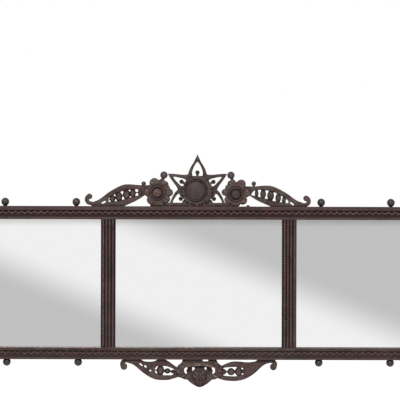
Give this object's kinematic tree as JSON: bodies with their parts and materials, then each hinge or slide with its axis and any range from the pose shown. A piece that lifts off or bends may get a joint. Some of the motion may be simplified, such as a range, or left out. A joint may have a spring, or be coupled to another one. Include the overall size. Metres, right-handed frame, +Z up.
{
  "type": "overmantel mirror",
  "caption": "Long low wall mirror in dark carved wood, with panes between reeded mullions, a pierced star crest with scrolled wings, a carved apron and turned balls.",
  "frame": {"origin": "middle of the bottom rail's back face, the long flat face that rests on the wall", "axes": "+X to the viewer's right along the rails, +Y into the wall, +Z up"},
  "size_m": [1.5, 0.0456, 0.761],
  "materials": {
    "frame_wood": "satin",
    "carved_wood": "satin",
    "turned_wood": "satin",
    "pine": "matt",
    "silvered_glass": "polished",
    "brass": "aged",
    "steel": "dull"
  },
  "bodies": {
    "frame": {"top_rail": "frame_wood", "bottom_rail": "frame_wood", "left_stile": "frame_wood", "right_stile": "frame_wood", "left_mullion": "frame_wood", "right_mullion": "frame_wood", "top_waved_slip": "frame_wood", "bottom_waved_slip": "frame_wood", "left_mirror_glass": "silvered_glass", "centre_mirror_glass": "silvered_glass", "right_mirror_glass": "silvered_glass", "left_backboard": "pine", "centre_backboard": "pine", "right_backboard": "pine", "backboard_sprigs": "steel", "top_ball_far_left": "turned_wood", "top_ball_left": "turned_wood", "top_ball_right": "turned_wood", "top_ball_far_right": "turned_wood", "bottom_ball_far_left": "turned_wood", "bottom_ball_left": "turned_wood", "bottom_ball_right": "turned_wood", "bottom_ball_far_right": "turned_wood", "lost_ball_stub": "turned_wood", "crest_star": "carved_wood", "crest_hub": "carved_wood", "crest_boss": "turned_wood", "crest_stamens": "turned_wood", "left_rosette": "carved_wood", "right_rosette": "carved_wood", "left_rosette_dome": "carved_wood", "right_rosette_dome": "carved_wood", "left_rosette_ball": "turned_wood", "right_rosette_ball": "turned_wood", "left_crest_wing": "carved_wood", "right_crest_wing": "carved_wood", "left_wing_pearl": "turned_wood", "right_wing_pearl": "turned_wood", "crest_dowels": "pine", "apron_flower": "carved_wood", "apron_bud": "carved_wood", "left_apron_wing": "carved_wood", "right_apron_wing": "carved_wood", "apron_dowels": "pine", "left_hanger_strap": "brass", "right_hanger_strap": "brass", "hanger_screws": "steel"},
    "left_ring": {"left_hanger_ring": "brass"},
    "right_ring": {"right_hanger_ring": "brass"}
  },
  "joints": [
    {"name": "left_ring_swing", "type": "hinge", "parent": "frame", "child": "left_ring", "pos_m": [-0.7315, 0.0036, 0.37], "axis": [1, 0, 0], "range_deg": [0, 180]},
    {"name": "right_ring_swing", "type": "hinge", "parent": "frame", "child": "right_ring", "pos_m": [0.7315, 0.0036, 0.37], "axis": [1, 0, 0], "range_deg": [0, 180]}
  ]
}
